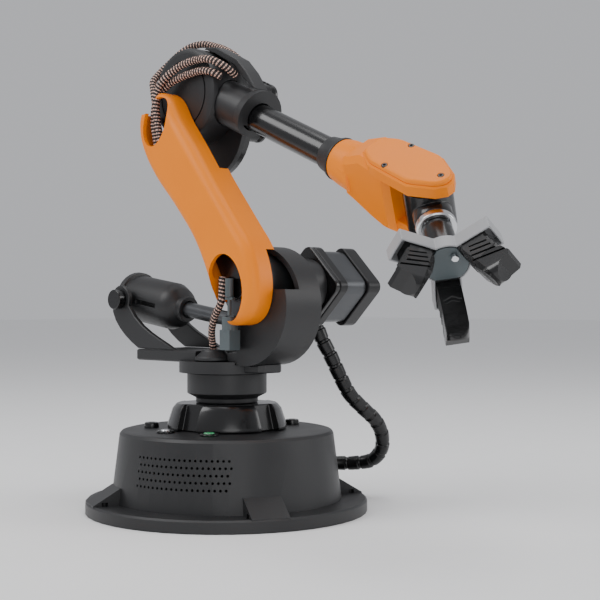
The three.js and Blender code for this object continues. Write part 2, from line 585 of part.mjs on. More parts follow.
// Forearm, in its own frame: X along the forearm from the foot of the elbow offset
function buildForearm() {
  const foot = {
    x: ELBOW.x + ELBOW_OFFSET * Math.sin(FOREARM_DROP),
    z: ELBOW.z + ELBOW_OFFSET * Math.cos(FOREARM_DROP),
  };
  const frame = frameAt(arm, foot.x, 0, foot.z);
  frame.rotation.y = FOREARM_DROP;
  const disc = DISC_IN_FOREARM;
  const axle = drumY(5.5, -20, 20, 0, -ELBOW_OFFSET, 24);
  const room = CAPSULE_RADIUS + 0.4;
  const capsuleRoom = turnedX([
    [0, -1.2], [6, -0.4], [10.2, 2.4], [room, 6.6], [room, COLLAR.back - 0.5],
    [16.4, COLLAR.back - 0.5], [16.4, 60], [0, 60],
  ], 32);
  const nearHalf = join(
    drumY(LOBE.radius, LOBE.near, ELBOW_SPLIT - 0.2, LOBE.ahead, -ELBOW_OFFSET, 40),
    turnedY([
      [0, ELBOW_NEAR], [23, ELBOW_NEAR], [25.8, -14], [26.7, -12], [26.7, ELBOW_SPLIT - 0.2],
      [0, ELBOW_SPLIT - 0.2],
    ], 36, disc),
  );
  piece('elbow_housing', cut(nearHalf, axle, capsuleRoom), finishes.greyShell(), frame);
  const farHalf = join(
    drumY(LOBE.radius - 0.8, ELBOW_SPLIT + 0.2, 12.1, LOBE.ahead, -ELBOW_OFFSET, 36),
    drumY(25.8, ELBOW_SPLIT + 0.2, 12.1, disc.x, disc.z, 36),
  );
  piece('elbow_back', cut(farHalf, axle, capsuleRoom), finishes.blackShell(), frame);
  const square = roundedRectangle(MOTOR_WIDTH, MOTOR_WIDTH, 6);
  const motor = slabY(square, 13, 37, 0.6, 3).translate(disc.x, 0, disc.z - 2);
  const cap = slabY(roundedRectangle(MOTOR_WIDTH + 0.7, MOTOR_WIDTH + 0.7, 7), 37.3, 43, 2, 3);
  piece('elbow_motor', motor, finishes.motorBlack(), frame);
  piece('elbow_motor_cap', cap.translate(disc.x, 0, disc.z - 2), finishes.blackShell(), frame);
  const bore = TUBE_RADIUS + 0.6;
  const collar = cut(
    turnedX([[bore, COLLAR.back], [COLLAR.radius - 1, COLLAR.back], [COLLAR.radius, COLLAR.front],
      [bore, COLLAR.front], [bore, COLLAR.back]], 32),
    box(30, 60, -20, 20, -20, -5),
  );
  piece('forearm_housing', join(turnedX([
    [0, 0], [5, 0.8], [9.4, 3.2], [11.8, 6.8], [CAPSULE_RADIUS, 11], [CAPSULE_RADIUS, COLLAR.back + 1],
    [bore, COLLAR.back + 1], [bore, 12], [0, 12],
  ], 28), collar), finishes.greyShell(), frame);
  piece('forearm_motor', turnedX([[0, 13], [8.2, 13], [8.2, 32], [2.5, 32], [2.5, 36], [0, 36]], 24),
    finishes.motorBlack(), frame);
  piece('cable_arch', cableArch(), finishes.greyShell());
  return frame;
}

function turnedY(profile, sides, centre) {
  return turnedZ(profile, sides).rotateX(-Math.PI / 2).translate(centre.x, 0, centre.z);
}

// Guard that bridges the cables: a bent strap from the elbow disc to the motor housing
function cableArch() {
  const strap = outline([
    [-21, 261.2], [-12.4, 264.6], [-4, 263.6], [13.6, 254.6], [21.6, 246.4], [28.8, 236],
    [25.4, 237.6], [18.6, 243.4],
    [11.6, 251.2], [-5.6, 260.4], [-12.4, 261.6], [-20, 258.8],
  ]);
  return cut(slabY(strap, -5, 5), drumY(27.2, -16, 16, ELBOW_DISC.x, ELBOW_DISC.z, 40));
}

// Wrist, in a frame at the wrist centre: X along the forearm, Z square to the flat cover
function buildWrist(forearm) {
  const frame = frameAt(forearm, FOREARM, 0, 0);
  frame.rotation.x = WRIST_ROLL;
  const start = TUBE_START - FOREARM;
  const tube = turnedX([[0, start], [TUBE_RADIUS, start], [TUBE_RADIUS, -57.5], [0, -57.5]], 24);
  const grooves = [-118, -100, -82].map((degrees) => {
    return box(-104, -58.5, -1, 1, -TUBE_RADIUS - 1, -TUBE_RADIUS + 1.3).rotateX(rad(degrees + 90));
  });
  piece('forearm_tube', cut(tube, ...grooves), finishes.blackShell(), frame);
  const sleeveBore = TUBE_RADIUS + GAP;
  piece('wrist_collar', turnedX([
    [sleeveBore, -67], [9.4, -67], [10.2, -62], [11.8, -58.4], [11.8, -57.3], [sleeveBore, -57.3],
    [sleeveBore, -67],
  ], 24), finishes.greyShell(), frame);
  piece('wrist_housing', wristHousing(), finishes.orange(), frame);
  piece('wrist_cover', slabZ(wristOutline(-0.6), WRIST_COVER_HEIGHT - 2, WRIST_COVER_HEIGHT, 0.6),
    finishes.orange(), frame);
  piece('wrist_cap_screw', turnedZ([[0, -25.5], [4.2, -25.5], [4.2, -23], [3.4, -20.6], [0, -20.6]], 20)
    .translate(PITCH_AHEAD, 0, 0), finishes.blackShell(), frame);
  return frame;
}

function wristOutline(grow) {
  const half = [[-30 - grow, 6], [-20, 11.4 + grow], [7, 12.6 + grow], [20, 6.5 + grow],
    [23.4 + grow, 2.2]];
  const mirrored = half.slice().reverse().map(([x, y]) => [x, -y]);
  return outline([...mirrored, ...half].map(([x, y]) => [x, y - 0.8]));
}

function wristHousing() {
  const upperArmOfFork = slabZ(wristOutline(0.6), 13.6, WRIST_COVER_HEIGHT - 2 - GAP, 0.8);
  const body = slabY(outline([
    [-46, -9.5], [-38, -12.5], [-27, -17.5], [-18, -20.4], [-11, -20.4], [-11, 18], [-30, 20], [-44, 13],
  ]), -12, 12, 3);
  const neck = turnedX([[0, -57], [11.4, -57], [12.4, -52], [13.4, -40], [0, -34]], 28);
  const lower = slabZ(roundedRectangle(34, 17, 8), -20.4, -14, 1, 5).translate(-5, 0, 0);
  const blockRoom = drumZ(13.4, -13.6, 13.2, PITCH_AHEAD, 0, 40);
  const tubeSocket = turnedX([[0, -60], [5, -60], [5, -45], [0, -45]], 20);
  return cut(join(upperArmOfFork, body, neck, lower), blockRoom, tubeSocket);
}

// Pitch block and tool: a frame whose Z is the tool axis
function buildTool(wrist) {
  const pitch = frameAt(wrist, PITCH_AHEAD, 0, 0);
  pitch.rotation.z = WRIST_PITCH;
  const block = drumZ(12.4, -13.2, 12.8, 0, 0, 28);
  const snout = turnedX([[0, 0], [9.8, 0], [9.8, 14.5], [9, 16.6], [0, 16.6]], 24);
  piece('pitch_block', join(block, snout), finishes.blackShell(), pitch);
  const tool = frameAt(pitch, 0, 0, 0);
  tool.rotation.y = Math.PI / 2;
  const spun = frameAt(tool, 0, 0, 0);
  spun.rotation.z = TOOL_SPIN;
  piece('tool_flange', turnedZ([
    [0, 16.9], [8.6, 16.9], [10, 17.8], [10, TOOL_FLANGE - 0.6], [9.4, TOOL_FLANGE], [0, TOOL_FLANGE],
  ], 24), finishes.steel(), spun);
  piece('gripper_adapter', drumZ(7.6, TOOL_FLANGE + GAP, SHELL_BACK - GAP, 0, 0, 32),
    finishes.blackShell(), spun);
  piece('gripper_shell', gripperShell(), finishes.lightGrey(), spun);
  piece('gripper_plate', gripperPlate(), finishes.slate(), spun);
  piece('air_nozzle', drumZ(1.8, SHELL_RIM + 0.5, SHELL_RIM + 3, ...around(rad(147), 6.2), 12),
    finishes.silver(), spun);
  for (let i = 0; i < FINGERS; i += 1) {
    const spoke = frameAt(spun, 0, 0, 0);
    spoke.rotation.z = (2 * Math.PI * i) / FINGERS;
    piece(`finger_${i + 1}`, finger(), finishes.rubber(), spoke);
  }
}

function spokes(length, width, z0, z1, hubRadius) {
  const bars = [drumZ(hubRadius, z0, z1, 0, 0, 30)];
  for (let i = 0; i < FINGERS; i += 1) {
    bars.push(box(0, length, -width / 2, width / 2, z0, z1).rotateZ((2 * Math.PI * i) / FINGERS));
  }
  return join(...bars);
}

function gripperShell() {
  const outer = spokes(ARM_REACH, ARM_WIDTH, SHELL_BACK, SHELL_RIM, 11.5);
  const inner = spokes(ARM_REACH - SHELL_WALL, ARM_WIDTH - 2 * SHELL_WALL, SHELL_BACK + 1.6,
    SHELL_RIM + 1, 10.6);
  return cut(outer, inner);
}

function gripperPlate() {
  const plate = drumZ(10.2, SHELL_RIM - 1.6, SHELL_RIM + 0.2, 0, 0, 40);
  const post = drumZ(5, SHELL_BACK + 1.6 + GAP, SHELL_RIM - 1, 0, 0, 20);
  const notches = [];
  for (let i = 0; i < FINGERS; i += 1) {
    const half = FINGER_WIDTH / 2 + 0.4;
    notches.push(box(8.6, 14, -half, half, 38, 60).rotateZ((2 * Math.PI * i) / FINGERS));
  }
  return cut(join(plate, post), ...notches);
}

// Soft bellows finger: flat gripping side inwards, three folds outside, and a hard tip
function finger() {
  const profile = outline([
    [15, 42.6], [11.6, 45.6], [11.6, 49], [10.4, 51.6], [11, 56], [14, 65], [19.6, 75.4], [22, 75.4],
    [25.6, 70.6], [30.4, 69.2],
    [31.4, 67], [28, 61.2], [25.6, 60.2], [26.8, 58.2], [24.2, 56.6], [25.4, 54.8], [22.9, 53.2],
    [24.2, 51.4],
    [22.4, 50], [22.4, 42.6],
  ]);
  return slabY(profile, -FINGER_WIDTH / 2, FINGER_WIDTH / 2, 0.5);
}

buildBase();
buildTurret();
buildBalance();
buildUpperArm();
const forearmFrame = buildForearm();
const wristFrame = buildWrist(forearmFrame);
buildTool(wristFrame);

export default arm;
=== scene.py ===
import math

import bmesh
import bpy
from mathutils import Matrix, Vector


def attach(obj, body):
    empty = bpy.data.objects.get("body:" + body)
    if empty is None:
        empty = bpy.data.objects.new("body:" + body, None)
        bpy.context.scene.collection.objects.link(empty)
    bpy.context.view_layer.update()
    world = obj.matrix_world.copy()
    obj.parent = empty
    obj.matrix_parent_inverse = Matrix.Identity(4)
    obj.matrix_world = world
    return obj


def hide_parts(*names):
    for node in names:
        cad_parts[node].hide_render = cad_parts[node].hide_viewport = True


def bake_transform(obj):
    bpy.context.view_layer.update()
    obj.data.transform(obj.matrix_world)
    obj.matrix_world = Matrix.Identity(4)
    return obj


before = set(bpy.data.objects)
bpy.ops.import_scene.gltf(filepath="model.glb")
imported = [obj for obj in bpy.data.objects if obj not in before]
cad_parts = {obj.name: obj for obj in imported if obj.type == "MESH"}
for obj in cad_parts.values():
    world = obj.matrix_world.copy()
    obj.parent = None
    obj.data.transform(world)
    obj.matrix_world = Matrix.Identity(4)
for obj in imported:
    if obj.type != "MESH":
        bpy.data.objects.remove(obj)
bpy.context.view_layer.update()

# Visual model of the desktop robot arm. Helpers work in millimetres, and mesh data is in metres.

MM = 0.001

# Driving dimensions, in millimetres, from the CAD model
SHOULDER = (29.7, 127.0)
ELBOW = (-23.48, 221.0)
FOREARM_FOOT = (-15.315, 0.0, 239.255)
FOREARM_DROP = math.radians(24.1)
FOREARM_LENGTH = 172
WRIST_ROLL = math.radians(36.8)
WRIST_PITCH = math.radians(-36)
PITCH_AHEAD = 6
TOOL_SPIN = math.radians(-4.5)
HOUSING = (29.7, 116.0)
HOUSING_RADIUS = 33
COVER_NEAR = -30
COVER_FAR = -9
WALL_FOOT_RADIUS = 65.5
WALL_TOP_RADIUS = 60.6
FLANGE_HEIGHT = 7
BASE_TOP = 46


# Frames
def turn(angle, axis):
    return Matrix.Rotation(angle, 4, axis)


def shift(x, y, z):
    return Matrix.Translation((x, y, z))


ROW = Matrix.Identity(4)
SIDE = turn(math.pi / 2, "X")  # an outline's second axis becomes height, and its depth runs to -Y
FOREARM = shift(*FOREARM_FOOT) @ turn(FOREARM_DROP, "Y")
WRIST = FOREARM @ shift(FOREARM_LENGTH, 0, 0) @ turn(WRIST_ROLL, "X")
PITCH = WRIST @ shift(PITCH_AHEAD, 0, 0) @ turn(WRIST_PITCH, "Z")
TOOL = PITCH @ turn(math.pi / 2, "Y") @ turn(TOOL_SPIN, "Z")


# Camera: level, and turned towards the arm
LENS = 75.4  # millimetres
SENSOR = 36
CAMERA_PLACE = (0.533, -0.4829, 0.1193)
CAMERA_TURN = math.radians(44.5)
camera_data = bpy.data.cameras.new("camera")
camera_data.lens = LENS
camera_data.sensor_width = SENSOR
camera = bpy.data.objects.new("camera", camera_data)
camera.location = CAMERA_PLACE
camera.rotation_euler = (math.radians(90), 0, CAMERA_TURN)
bpy.context.scene.collection.objects.link(camera)
bpy.context.scene.camera = camera


# Materials
def link(tree, source, target):
    tree.links.new(source, target)


DRIFT_SCALE = 38  # slow change in colour and roughness
RELIEF_DEPTH = 0.0002  # metres
COAT_ROUGHNESS = 0.12


def look(name, color, rough, metal=0.0, coat=0.0, grain=1.5, bump=0.08, mottle=0.12, spread=0.08,
         specular=0.5):
    """Moulded or painted surface: grain in mm in the bump, slow drift in colour and roughness."""
    material = bpy.data.materials.new(name)
    material.use_nodes = True
    tree = material.node_tree
    shader = tree.nodes["Principled BSDF"]
    shader.inputs["Metallic"].default_value = metal
    shader.inputs["Coat Weight"].default_value = coat
    shader.inputs["Coat Roughness"].default_value = COAT_ROUGHNESS
    shader.inputs["Specular IOR Level"].default_value = specular
    place = tree.nodes.new("ShaderNodeTexCoord")
    drift = tree.nodes.new("ShaderNodeTexNoise")
    drift.inputs["Scale"].default_value = DRIFT_SCALE
    drift.inputs["Detail"].default_value = 4
    ramp = tree.nodes.new("ShaderNodeValToRGB")
    ramp.color_ramp.elements[0].position = 0.3
    ramp.color_ramp.elements[1].position = 0.7
    ramp.color_ramp.elements[0].color = (*[c * (1 - mottle) for c in color], 1)
    ramp.color_ramp.elements[1].color = (*[min(1, c * (1 + mottle)) for c in color], 1)
    rough_range = tree.nodes.new("ShaderNodeMapRange")
    rough_range.inputs["To Min"].default_value = rough - spread
    rough_range.inputs["To Max"].default_value = rough + spread
    fine = tree.nodes.new("ShaderNodeTexNoise")
    fine.inputs["Scale"].default_value = 1000 / grain
    fine.inputs["Detail"].default_value = 3
    relief = tree.nodes.new("ShaderNodeBump")
    relief.inputs["Strength"].default_value = bump
    relief.inputs["Distance"].default_value = RELIEF_DEPTH
    link(tree, place.outputs["Object"], drift.inputs["Vector"])
    link(tree, place.outputs["Object"], fine.inputs["Vector"])
    link(tree, drift.outputs["Fac"], ramp.inputs["Fac"])
    link(tree, ramp.outputs["Color"], shader.inputs["Base Color"])
    link(tree, drift.outputs["Fac"], rough_range.inputs["Value"])
    link(tree, rough_range.outputs["Result"], shader.inputs["Roughness"])
    link(tree, fine.outputs["Fac"], relief.inputs["Height"])
    link(tree, relief.outputs["Normal"], shader.inputs["Normal"])
    return material


def braided_look(name):
    """Woven sleeve: pale pink dashes in a helix, broken up by thin dark gaps, on a dark ground. The dark
    ground and the gaps are painted shade between the pale yarns.
    """
    material = bpy.data.materials.new(name)
    material.use_nodes = True
    tree = material.node_tree
    shader = tree.nodes["Principled BSDF"]
    shader.inputs["Roughness"].default_value = 0.62
    place = tree.nodes.new("ShaderNodeUVMap")
    parts = tree.nodes.new("ShaderNodeSeparateXYZ")
    link(tree, place.outputs["UV"], parts.inputs["Vector"])

    def math_node(kind, a, b):
        node = tree.nodes.new("ShaderNodeMath")
        node.operation = kind
        for socket, value in zip(node.inputs, (a, b)):
            if isinstance(value, (int, float)):
                socket.default_value = value
            else:
                link(tree, value, socket)
        return node.outputs[0]

    hoops_per_mm = 0.50
    hoop_share = 0.36
    yarns = 7
    yarn_share = 0.78
    around, along = parts.outputs["X"], parts.outputs["Y"]
    hoop = math_node("FRACT", math_node("ADD", math_node("MULTIPLY", along, hoops_per_mm), around), 0)
    yarn = math_node("FRACT", math_node("SUBTRACT", math_node("MULTIPLY", around, yarns),
                                        math_node("MULTIPLY", along, 0.2)), 0)
    # The dash mask is 1 on the pale yarns and 0 in the painted shade between them
    pale_hoop = math_node("LESS_THAN", hoop, hoop_share)
    pale_yarn = math_node("LESS_THAN", yarn, yarn_share)
    dash = math_node("MULTIPLY", pale_hoop, pale_yarn)
    noise = tree.nodes.new("ShaderNodeTexNoise")
    noise.inputs["Scale"].default_value = 900
    # Painted shade: near black to dark red, the colour of the shade between the pale yarns
    ramp = tree.nodes.new("ShaderNodeValToRGB")
    ramp.color_ramp.elements[0].color = (0.002, 0.0015, 0.0015, 1)
    ramp.color_ramp.elements[1].color = (0.018, 0.010, 0.010, 1)
    mix = tree.nodes.new("ShaderNodeMix")
    mix.data_type = "RGBA"
    mix.inputs["B"].default_value = (0.78, 0.50, 0.40, 1)
    link(tree, noise.outputs["Fac"], ramp.inputs["Fac"])
    link(tree, ramp.outputs["Color"], mix.inputs["A"])
    link(tree, dash, mix.inputs["Factor"])
    link(tree, mix.outputs["Result"], shader.inputs["Base Color"])
    return material


LOOKS = {
    "grey_shell": look("grey_shell", (0.0165, 0.0168, 0.018), 0.44, grain=0.7, bump=0.22),
    "black_gloss": look("black_gloss", (0.0045, 0.0045, 0.005), 0.24, coat=0.2, bump=0.04),
    "orange_shell": look(
        "orange_shell", (1.0, 0.25, 0.0), 0.42, specular=0.3, grain=0.8, bump=0.05, mottle=0.03),
    "steel": look("steel", (0.55, 0.56, 0.58), 0.28, metal=1.0, bump=0.05),
    "motor_black": look("motor_black", (0.008, 0.008, 0.009), 0.36, metal=0.2, grain=0.6, bump=0.2),
    "motor_core": look("motor_core", (0.09, 0.094, 0.10), 0.34, metal=0.7, bump=0.1),
    "rubber": look("rubber", (0.012, 0.012, 0.0125), 0.38, grain=0.9, bump=0.15),
    "conduit_black": look("conduit_black", (0.004, 0.004, 0.0045), 0.28, bump=0.06),
    "braid": braided_look("braid"),
    "board_green": look("board_green", (0.02, 0.16, 0.06), 0.4),
    "lens_green": look("lens_green", (0.05, 0.42, 0.16), 0.18, coat=0.6, bump=0.0),
    "silver_cap": look("silver_cap", (0.72, 0.73, 0.75), 0.2, metal=1.0, bump=0.02),
    "slate_plastic": look("slate_plastic", (0.085, 0.105, 0.112), 0.4, grain=0.8, bump=0.1),
    "light_grey": look("light_grey", (0.36, 0.365, 0.375), 0.4, grain=0.7, bump=0.12, mottle=0.06),
}


# Mesh helpers
def show(mesh_or_bmesh, name):
    mesh = mesh_or_bmesh
    if isinstance(mesh_or_bmesh, bmesh.types.BMesh):
        mesh = bpy.data.meshes.new(name)
        bmesh.ops.recalc_face_normals(mesh_or_bmesh, faces=mesh_or_bmesh.faces)
        mesh_or_bmesh.to_mesh(mesh)
        mesh_or_bmesh.free()
    obj = bpy.data.objects.new(name, mesh)
    bpy.context.scene.collection.objects.link(obj)
    return obj


def bake(obj, *modifiers):
    """Applies modifiers, each a kind and its settings."""
    for kind, settings in modifiers:
        modifier = obj.modifiers.new(kind, kind)
        for key, value in settings.items():
            setattr(modifier, key, value)
    graph = bpy.context.evaluated_depsgraph_get()
    mesh = bpy.data.meshes.new_from_object(obj.evaluated_get(graph))
    obj.modifiers.clear()
    obj.data = mesh
    return obj


def carved(obj, *cutters, operation="DIFFERENCE"):
    for cutter in cutters:
        bake(obj, ("BOOLEAN", {"operation": operation, "object": cutter, "solver": "EXACT"}))
        bpy.data.objects.remove(cutter)
    return obj


def softened(obj, bevel, segments=2, angle=32):
    """Flat faces merged, edges rounded, and the rest shaded smooth."""
    work = bmesh.new()
    work.from_mesh(obj.data)
    bmesh.ops.remove_doubles(work, verts=work.verts, dist=2e-6)
    bmesh.ops.dissolve_degenerate(work, edges=work.edges, dist=2e-6)
    bmesh.ops.dissolve_limit(work, angle_limit=math.radians(0.6), verts=work.verts, edges=work.edges)
    work.to_mesh(obj.data)
    work.free()
    if bevel:
        bake(obj, ("BEVEL", {
            "width": bevel * MM, "segments": segments, "limit_method": "ANGLE",
            "angle_limit": math.radians(angle), "use_clamp_overlap": True, "miter_outer": "MITER_ARC",
        }))
    obj.data.shade_smooth()
    obj.data.set_sharp_from_angle(angle=math.radians(angle))
    bake(obj, ("WEIGHTED_NORMAL", {"keep_sharp": True, "weight": 60}))
    return obj


def dress(obj, slot_name, body, *nodes):
    obj.data.materials.clear()
    obj.data.materials.append(LOOKS[slot_name])
    if body:
        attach(obj, body)
    if nodes:
        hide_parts(*nodes)
    return obj


def copy_of(node):
    return show(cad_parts[node].data.copy(), f"{node}_shape")


def ring_mesh(rings, closed=False):
    """Skin over rings of points, in metres. The ends are capped unless the skin closes on itself."""
    work = bmesh.new()
    rows = [[work.verts.new(p) for p in ring] for ring in rings]
    count = len(rows[0])
    pairs = list(zip(rows, rows[1:]))
    if closed:
        pairs.append((rows[-1], rows[0]))
    for a, b in pairs:
        for i in range(count):
            j = (i + 1) % count
            work.faces.new((a[i], a[j], b[j], b[i]))
    if not closed:
        work.faces.new(rows[0])
        work.faces.new(rows[-1])
    return work


def lathe(profile, matrix=ROW, sides=96, name="turned"):
    """Turned about local Z. The profile is (radius, height) in mm, closed on itself when its ends meet."""
    closed = profile[0] == profile[-1]
    points = profile[:-1] if closed else profile
    small = 0.002
    rings = []
    for radius, height in points:
        ring = []
        for i in range(sides):
            a = 2 * math.pi * i / sides
            r = max(radius, small)
            ring.append(matrix @ Vector((r * math.cos(a), r * math.sin(a), height)) * MM)
        rings.append(ring)
    return show(ring_mesh(rings, closed), name)


def moved_in(points, distance):
    """A closed outline moved inwards, for points that run anticlockwise."""
    count = len(points)
    out = []
    for i in range(count):
        (px, py), (x, y), (nx, ny) = points[i - 1], points[i], points[(i + 1) % count]
        length = math.hypot(nx - px, ny - py) or 1
        out.append((x - distance * (ny - py) / length, y + distance * (nx - px) / length))
    return out


def slab(points, levels, matrix=ROW, name="slab"):
    """An outline skinned over levels of (height, inset), in mm."""
    area = sum(a[0] * b[1] - b[0] * a[1] for a, b in zip(points, points[1:] + points[:1]))
    if area < 0:
        points = points[::-1]
    rings = []
    for height, inset in levels:
        ring = moved_in(points, inset) if inset else points
        rings.append([matrix @ Vector((x, y, height)) * MM for x, y in ring])
    return show(ring_mesh(rings), name)


def fillet(edge, flat, radius, steps=5):
    """Levels of a rounded edge from the side at (edge -+ radius) to the flat face at edge."""
    levels = []
    for i in range(steps + 1):
        a = math.pi / 2 * i / steps
        levels.append((edge - flat * radius * (1 - math.sin(a)), radius * (1 - math.cos(a))))
    return levels


def block(x0, x1, y0, y1, z0, z1, matrix=ROW, name="block"):
    corners = [(x0, y0), (x1, y0), (x1, y1), (x0, y1)]
    return slab(corners, [(z0, 0), (z1, 0)], matrix, name)


def rod(radius, z0, z1, matrix=ROW, sides=64, name="rod"):
    return lathe([(0, z0), (radius, z0), (radius, z1), (0, z1)], matrix, sides, name)


def across(radius, y0, y1, x, z, sides=64):
    """Cylinder along Y."""
    return rod(radius, -y1, -y0, shift(x, 0, z) @ SIDE, sides)


def spline(points, per_span, closed=False):
    """Centripetal Catmull-Rom curve through the points, of two or three coordinates."""
    source = [Vector((*p, 0)) if len(p) == 2 else Vector(p) for p in points]
    count = len(source)
    if closed:
        chain = [source[-1], *source, source[0], source[1]]
    else:
        chain = [2 * source[0] - source[1], *source, 2 * source[-1] - source[-2]]
    out = []
    for i in range(1, len(chain) - 2):
        p0, p1, p2, p3 = chain[i - 1:i + 3]
        t1 = max((p1 - p0).length, 1e-6) ** 0.5
        t2 = t1 + max((p2 - p1).length, 1e-6) ** 0.5
        t3 = t2 + max((p3 - p2).length, 1e-6) ** 0.5
        for k in range(per_span):
            t = t1 + (t2 - t1) * k / per_span
            a1 = p0 * ((t1 - t) / t1) + p1 * (t / t1)
            a2 = p1 * ((t2 - t) / (t2 - t1)) + p2 * ((t - t1) / (t2 - t1))
            a3 = p2 * ((t3 - t) / (t3 - t2)) + p3 * ((t - t2) / (t3 - t2))
            b1 = a1 * ((t2 - t) / t2) + a2 * (t / t2)
            b2 = a2 * ((t3 - t) / (t3 - t1)) + a3 * ((t - t1) / (t3 - t1))
            out.append(b1 * ((t2 - t) / (t2 - t1)) + b2 * ((t - t1) / (t2 - t1)))
    if not closed:
        out.append(source[-1])
    return out


def flat(vectors):
    return [(v.x, v.y) for v in vectors]


def rounded(points, radius, steps=6):
    """A polygon with its corners rounded."""
    out = []
    count = len(points)
    for i in range(count):
        before, corner, after = (Vector(points[j % count]) for j in (i - 1, i, i + 1))
        back = min(radius, (before - corner).length * 0.45)
        front = min(radius, (after - corner).length * 0.45)
        start = corner + (before - corner).normalized() * back
        end = corner + (after - corner).normalized() * front
        for k in range(steps + 1):
            t = k / steps
            out.append(tuple(start * (1 - t) ** 2 + corner * 2 * t * (1 - t) + end * t ** 2))
    return out


def evenly(points, step):
    """Points a fixed step apart along a line."""
    total = sum((b - a).length for a, b in zip(points, points[1:]))
    count = max(2, round(total / step))
    out, walked, index = [points[0]], 0.0, 0
    for k in range(1, count):
        goal = total * k / count
        while walked + (points[index + 1] - points[index]).length < goal:
            walked += (points[index + 1] - points[index]).length
            index += 1
        span = (points[index + 1] - points[index]).length
        out.append(points[index].lerp(points[index + 1], (goal - walked) / span))
    out.append(points[-1])
    return out, total


def tube(name, route, radius_at, sides, step):
    """Closed tube along a route in mm. radius_at gives the radius from the distance along and the angle."""
    line, total = evenly(spline(route, 24), step)
    tangents = [(b - a).normalized() for a, b in zip(line, line[1:])]
    tangents.append(tangents[-1])
    side = tangents[0].orthogonal().normalized()
    rings = []
    along = []
    for i, point in enumerate(line):
        side = (side - tangents[i] * side.dot(tangents[i])).normalized()
        up = tangents[i].cross(side)
        distance = total * i / (len(line) - 1)
        along.append(distance)
        ring = []
        for k in range(sides):
            a = 2 * math.pi * k / sides
            r = radius_at(distance, a)
            ring.append((point + side * (r * math.cos(a)) + up * (r * math.sin(a))) * MM)
        rings.append(ring)
    work = ring_mesh(rings)
    uv = work.loops.layers.uv.new("UVMap")
    work.verts.index_update()
    work.verts.ensure_lookup_table()
    for face in work.faces:
        columns = [loop.vert.index % sides for loop in face.loops]
        wraps = len(face.loops) == 4 and max(columns) - min(columns) > 1
        for loop, column in zip(face.loops, columns):
            turn_share = 1.0 if wraps and column == 0 else column / sides
            loop[uv].uv = (turn_share, along[loop.vert.index // sides])
    obj = show(work, name)
    obj.data.shade_smooth()
    return obj, [list(p * MM) for p in line], total * MM


# Cords
CONDUIT_ROUTE = [
    (34.5, 38.5, 103.5), (36, 41, 96.5), (38, 45, 88.5), (40.5, 51.5, 75), (42, 58, 64.5),
    (43.5, 68.5, 55.5), (43.5, 79, 48), (42, 86.5, 39), (38, 90.5, 29.5), (31, 90, 22.6),
    (20.5, 85.5, 20.2), (12, 79, 20), (7.55, 71.8, 20),
]
SHOULDER_SLEEVE_ROUTE = [
    (5.3, -15, 92), (6.5, -17, 96.5), (10, -20.4, 103), (15.8, -23, 111), (22, -24.3, 118.3),
    (23, -24.4, 125.5), (23.2, -24.4, 132),
]
ELBOW_SLEEVE_ROUTES = [
    [
        (-27, -24.9, 200), (-29.3, -25, 211), (-31.6, -25.4, 222), (-32.3, -25.7, 232),
        (-32.1, -25.2, 238), (-29.9, -24.2, 243.3), (-26.3, -22.6, 247.4), (-21.5, -20.6, 250.9),
        (-15.6, -19.2, 253.4), (-6.1, -18, 254.8), (4, -17.4, 254), (9.6, -14.5, 251.4),
        (12, -10, 248.4), (12.4, -5, 245.4),
    ],
    [
        (-31.4, -24.2, 200), (-33.8, -24.2, 211), (-35.9, -24.2, 220), (-36.2, -23.6, 229),
        (-35.3, -22.4, 235.6), (-32.7, -21, 239.8), (-27.7, -19.6, 243.6), (-19.7, -18.6, 246.2),
        (-10, -18, 247.8), (-0.4, -17.6, 248.2), (6, -16, 246.6), (9.6, -12.6, 244),
    ],
    [
        (-33, -19.6, 203), (-37.2, -19.5, 214), (-39.6, -19.3, 226), (-41.6, -18.9, 235),
        (-44.3, -17.8, 242), (-46.8, -16, 247.5), (-47.2, -10.5, 253.5), (-45, -5, 259.5),
        (-41.5, -0.5, 265), (-36.5, 3.6, 269.2), (-29, 6.6, 270.4), (-20.5, 8.6, 268.4),
        (-11, 9, 264.8), (-1, 8.8, 259), (7, 8.6, 251.5), (14, 8, 244),
    ],
]
SEGMENT = 8.0  # pitch of the conduit's segments
CONDUIT_RADIUS = 4.4
SHOULDER_SLEEVE_RADIUS = 2.0
ELBOW_SLEEVE_RADIUS = 2.1
SLEEVE_SIDES = 24
SLEEVE_STEP = 0.35  # between the rings of a sleeve's mesh
CONDUIT_STEP = 0.55


def conduit_radius(distance, angle):
    phase = (distance % SEGMENT) / SEGMENT
    groove = 0.62 if phase < 0.14 or phase > 0.93 else 0
    taper = 0.25 * phase
    return CONDUIT_RADIUS - groove - taper


def braid_radius(radius):
    def at(distance, angle):
        weave = math.sin(6 * angle + 2.2 * distance) * math.sin(6 * angle - 2.2 * distance)
        return radius * (0.975 + 0.04 * weave)
    return at


def blended(obj):
    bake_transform(obj)


conduit, conduit_path, conduit_length = tube("conduit", CONDUIT_ROUTE, conduit_radius, 20, CONDUIT_STEP)
conduit.data.set_sharp_from_angle(angle=math.radians(40))
dress(conduit, "conduit_black", None, "base_conduit")
blended(conduit)
shoulder_radius = braid_radius(SHOULDER_SLEEVE_RADIUS)
sleeve, sleeve_path, sleeve_length = tube(
    "shoulder_cable", SHOULDER_SLEEVE_ROUTE, shoulder_radius, SLEEVE_SIDES, SLEEVE_STEP)
dress(sleeve, "braid", None, "shoulder_sleeve")
blended(sleeve)
for index, route in enumerate(ELBOW_SLEEVE_ROUTES):
    sleeve, sleeve_path, sleeve_length = tube(
        f"elbow_cable_{index + 1}", route, braid_radius(ELBOW_SLEEVE_RADIUS), SLEEVE_SIDES, SLEEVE_STEP)
    dress(sleeve, "braid", None, f"elbow_sleeve_{index + 1}")
    blended(sleeve)


MADE = set()  # CAD nodes that a piece of its own already stands for


def made(obj, slot_name, body, *nodes):
    MADE.update(nodes)
    return dress(obj, slot_name, body, *nodes)


